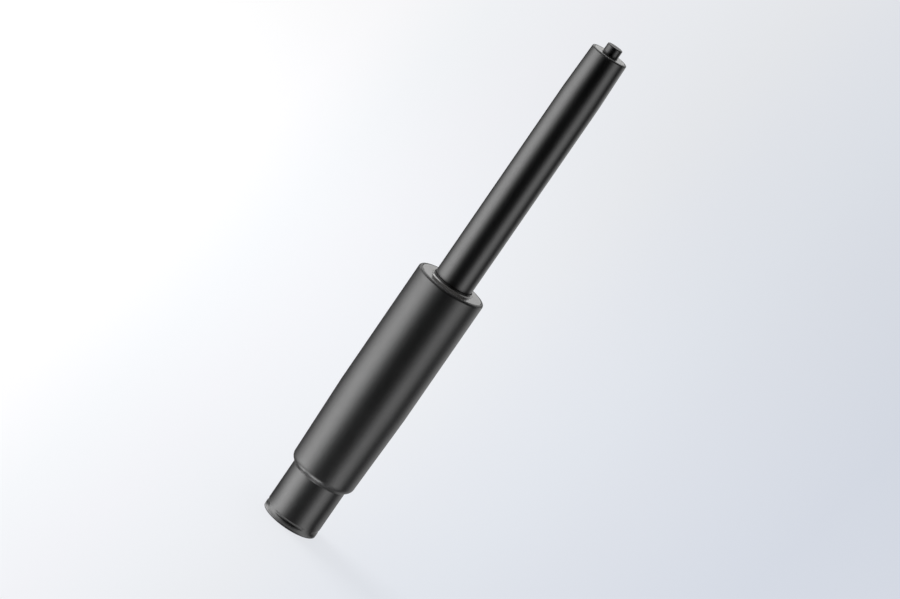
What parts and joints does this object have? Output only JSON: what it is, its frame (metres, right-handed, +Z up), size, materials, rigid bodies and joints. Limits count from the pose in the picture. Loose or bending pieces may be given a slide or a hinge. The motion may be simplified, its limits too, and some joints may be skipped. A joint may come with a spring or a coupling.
{
  "type": "chair gas lift cylinder",
  "caption": "Height-adjustable gas lift column for a swivel chair: a tapered outer tube, a sliding pressure tube with a tapered top, and a round release button.",
  "frame": {"origin": "centre of the foot's lower rim, where the column stands on a surface", "axes": "+Z up the common axis of column, rod and pressure tube; X and Y are equal, since the part is round"},
  "size_m": [0.0508, 0.0508, 0.3902],
  "materials": {
    "black_enamel": "satin black enamel",
    "black_plastic": "moulded, satin",
    "turned_steel": "turned face",
    "button_black": "satin black",
    "black_rubber": "matt",
    "bright_steel": "ground",
    "hard_chrome": "polished",
    "natural_plastic": "machined",
    "brass": "stamped"
  },
  "bodies": {
    "column": {"column_tube": "black_enamel", "base_plate": "bright_steel", "guide_bush": "black_plastic", "wiper_ring": "black_rubber", "lower_race": "bright_steel"},
    "ball_ring": {"ball_cage": "brass", "bearing_balls": "hard_chrome"},
    "rod": {"piston_rod": "hard_chrome", "retaining_clip": "bright_steel", "clip_washer": "bright_steel", "upper_race": "bright_steel", "bumper_washer": "bright_steel", "bumper": "black_rubber", "piston": "natural_plastic", "piston_seal": "black_rubber", "piston_washer": "bright_steel"},
    "cylinder": {"pressure_tube": "black_enamel", "rod_guide": "natural_plastic", "rod_seal": "black_rubber", "seal_washer": "bright_steel", "cylinder_seat": "bright_steel", "inner_cylinder": "bright_steel", "valve_body": "natural_plastic", "valve_seals": "black_rubber", "pin_seals": "black_rubber", "top_plug": "turned_steel"},
    "release": {"valve_pin": "hard_chrome", "release_button": "button_black"}
  },
  "joints": [
    {"name": "swivel", "type": "hinge", "parent": "column", "child": "rod", "pos_m": [0, 0, 0.0155], "axis": [0, 0, 1], "continuous": true},
    {"name": "ball_ring_turn", "type": "hinge", "parent": "column", "child": "ball_ring", "pos_m": [0, 0, 0.0155], "axis": [0, 0, 1], "continuous": true},
    {"name": "lift", "type": "slide", "parent": "rod", "child": "cylinder", "axis": [0, 0, 1], "range_m": [-0.12, 0]},
    {"name": "release", "type": "slide", "parent": "cylinder", "child": "release", "axis": [0, 0, 1], "range_m": [-0.0035, 0], "stiffness_N_per_m": 4000, "springref_m": 0.004}
  ],
  "couplings": [
    {"joint": "ball_ring_turn", "follows": "swivel", "ratio": 0.5}
  ]
}
